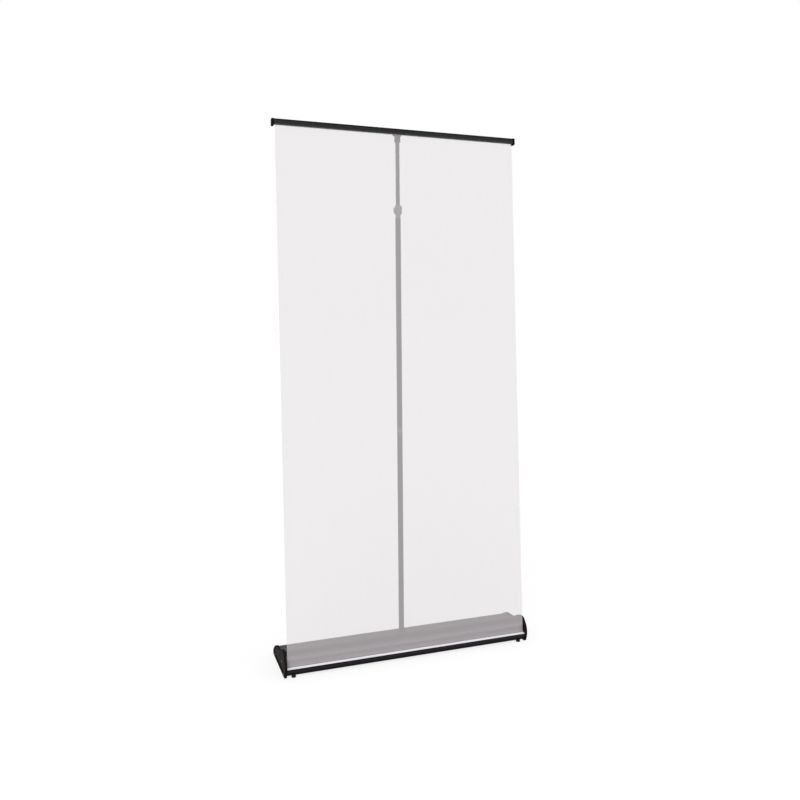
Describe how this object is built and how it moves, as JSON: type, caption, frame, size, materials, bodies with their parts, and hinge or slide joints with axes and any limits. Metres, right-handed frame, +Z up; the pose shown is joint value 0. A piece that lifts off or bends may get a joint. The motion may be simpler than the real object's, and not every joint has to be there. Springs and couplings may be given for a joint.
{
  "type": "retractable banner stand",
  "caption": "Floor-standing retractable banner stand: a see-through blank banner drawn up from a wave-shaped cassette to a clamp rail on a leaning telescopic pole with a cam lock.",
  "frame": {"origin": "on the floor, below the middle of the base's box", "axes": "+X along the cassette towards the viewer's right, +Y from the banner's face to the back, +Z up"},
  "size_m": [1.026, 0.2378, 2.1073],
  "materials": {
    "black_anodised": "satin black anodised",
    "black_plastic": "matt black",
    "grey_plastic": "matt dark grey",
    "black_steel": "blackened",
    "bare_steel": "plain",
    "mill_aluminium": "mill",
    "pale_trim": "satin, near white",
    "foot_rubber": "matt black",
    "clear_film": "see-through, faintly milky"
  },
  "bodies": {
    "base": {"cassette_housing": "black_anodised", "left_end_cap": "black_plastic", "right_end_cap": "black_plastic", "end_cap_screws": "black_steel", "axle_screws": "black_steel", "slot_trim_strip": "pale_trim", "front_feet": "foot_rubber", "rear_feet": "foot_rubber", "roller_stub_axle": "bare_steel", "spring_mandrel": "bare_steel", "recoil_spring": "bare_steel", "banner_tail": "clear_film", "banner_sheet": "clear_film", "pole_socket": "black_plastic", "pole_base_plug": "black_plastic", "base_plug_rivet": "bare_steel", "pole_lower_tube": "black_anodised", "pole_joint_sleeve": "grey_plastic", "pole_middle_tube": "black_anodised", "lock_collar": "grey_plastic", "lever_pin": "bare_steel"},
    "roller": {"roller_tube": "mill_aluminium", "left_roller_plug": "black_plastic", "right_roller_plug": "black_plastic", "banner_roll": "clear_film"},
    "mast_top": {"pole_upper_tube": "black_anodised", "guide_bush": "black_plastic", "rail_hook_head": "black_plastic", "head_screw": "black_steel", "rail_body": "black_anodised", "left_rail_cap": "black_plastic", "right_rail_cap": "black_plastic"},
    "jaw": {"rail_jaw": "black_anodised"},
    "lever": {"lock_lever": "grey_plastic"}
  },
  "joints": [
    {"name": "pole_telescope", "type": "slide", "parent": "base", "child": "mast_top", "axis": [0, 0.0284, 0.9996], "range_m": [-0.21, 0], "deforming": ["banner_sheet"]},
    {"name": "roller_spin", "type": "hinge", "parent": "base", "child": "roller", "pos_m": [0, -0.052, 0.043], "axis": [1, 0, 0], "range_deg": [0, 580]},
    {"name": "lever_pivot", "type": "hinge", "parent": "base", "child": "lever", "pos_m": [-0.0144, 0.06472, 1.78834], "axis": [0, -0.0284, -0.9996], "range_deg": [0, 110]},
    {"name": "jaw_hinge", "type": "hinge", "parent": "mast_top", "child": "jaw", "pos_m": [0, 0.04254, 2.10185], "axis": [-1, 0, 0], "range_deg": [0, 70]}
  ],
  "couplings": [
    {"joint": "roller_spin", "follows": "pole_telescope", "rad_per_m": -47.513}
  ]
}
